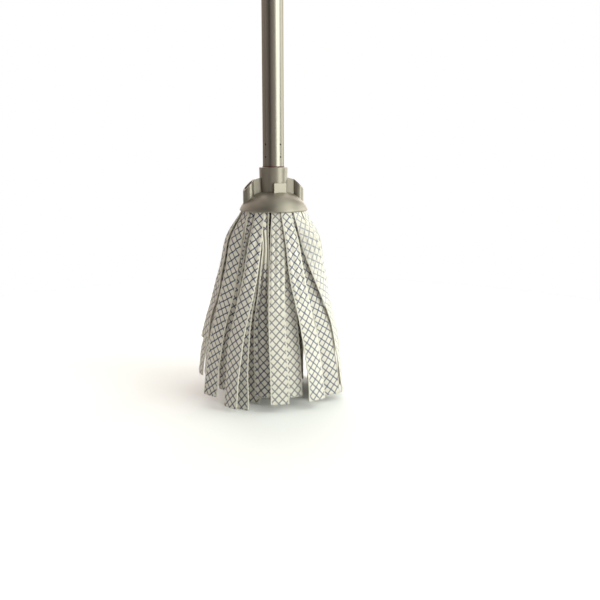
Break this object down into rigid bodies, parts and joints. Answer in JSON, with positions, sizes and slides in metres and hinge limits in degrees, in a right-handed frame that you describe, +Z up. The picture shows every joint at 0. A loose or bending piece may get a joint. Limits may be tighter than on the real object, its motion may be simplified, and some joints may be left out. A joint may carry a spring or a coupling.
{
  "type": "strip mop",
  "caption": "Strip mop with a domed plastic cap, a flaring skirt of lattice-printed nonwoven strips clamped inside it, and a push-in tube handle with a hanging eye.",
  "frame": {"origin": "on the floor, under the handle's axis, at the middle of the ring of strips", "axes": "+Z up along the handle, -Y towards the pictured front, +X to the right in the picture"},
  "size_m": [0.1618, 0.1435, 1.2944],
  "materials": {
    "champagne_tube": "satin anodised",
    "cap_plastic": "satin moulded",
    "plug_plastic": "moulded",
    "core_plastic": "moulded",
    "zinc_steel": "zinc plated",
    "printed_nonwoven": "soft nonwoven with a printed lattice"
  },
  "bodies": {
    "head": {"head_cap": "cap_plastic", "strip_core": "core_plastic", "core_washer": "zinc_steel", "core_screw": "zinc_steel", "strip_front_01": "printed_nonwoven", "strip_front_02": "printed_nonwoven", "strip_front_03": "printed_nonwoven", "strip_front_04": "printed_nonwoven", "strip_front_05": "printed_nonwoven", "strip_front_06": "printed_nonwoven", "strip_front_07": "printed_nonwoven", "strip_front_08": "printed_nonwoven", "strip_front_09": "printed_nonwoven", "strip_front_10": "printed_nonwoven", "strip_front_11": "printed_nonwoven", "strip_front_12": "printed_nonwoven", "strip_front_13": "printed_nonwoven", "strip_front_14": "printed_nonwoven", "strip_front_15": "printed_nonwoven", "strip_rest_01": "printed_nonwoven", "strip_rest_02": "printed_nonwoven", "strip_rest_03": "printed_nonwoven", "strip_rest_04": "printed_nonwoven", "strip_rest_05": "printed_nonwoven", "strip_rest_06": "printed_nonwoven", "strip_rest_07": "printed_nonwoven", "strip_rest_08": "printed_nonwoven", "strip_rest_09": "printed_nonwoven", "strip_rest_10": "printed_nonwoven", "strip_rest_11": "printed_nonwoven", "strip_rest_12": "printed_nonwoven", "strip_rest_13": "printed_nonwoven", "strip_rest_14": "printed_nonwoven", "strip_rest_15": "printed_nonwoven", "strip_rest_16": "printed_nonwoven", "strip_rest_17": "printed_nonwoven", "strip_rest_18": "printed_nonwoven", "strip_rest_19": "printed_nonwoven", "strip_rest_20": "printed_nonwoven", "strip_rest_21": "printed_nonwoven", "strip_rest_22": "printed_nonwoven", "strip_rest_23": "printed_nonwoven", "strip_rest_24": "printed_nonwoven", "strip_rest_25": "printed_nonwoven", "strip_rest_26": "printed_nonwoven", "strip_rest_27": "printed_nonwoven", "strip_rest_28": "printed_nonwoven", "strip_rest_29": "printed_nonwoven"},
    "handle": {"handle_tube": "champagne_tube", "handle_plug": "plug_plastic", "hanger_cap": "cap_plastic"}
  },
  "joints": [
    {"name": "handle_pull", "type": "slide", "parent": "head", "child": "handle", "axis": [0, 0, 1], "range_m": [0, 0.04]}
  ]
}
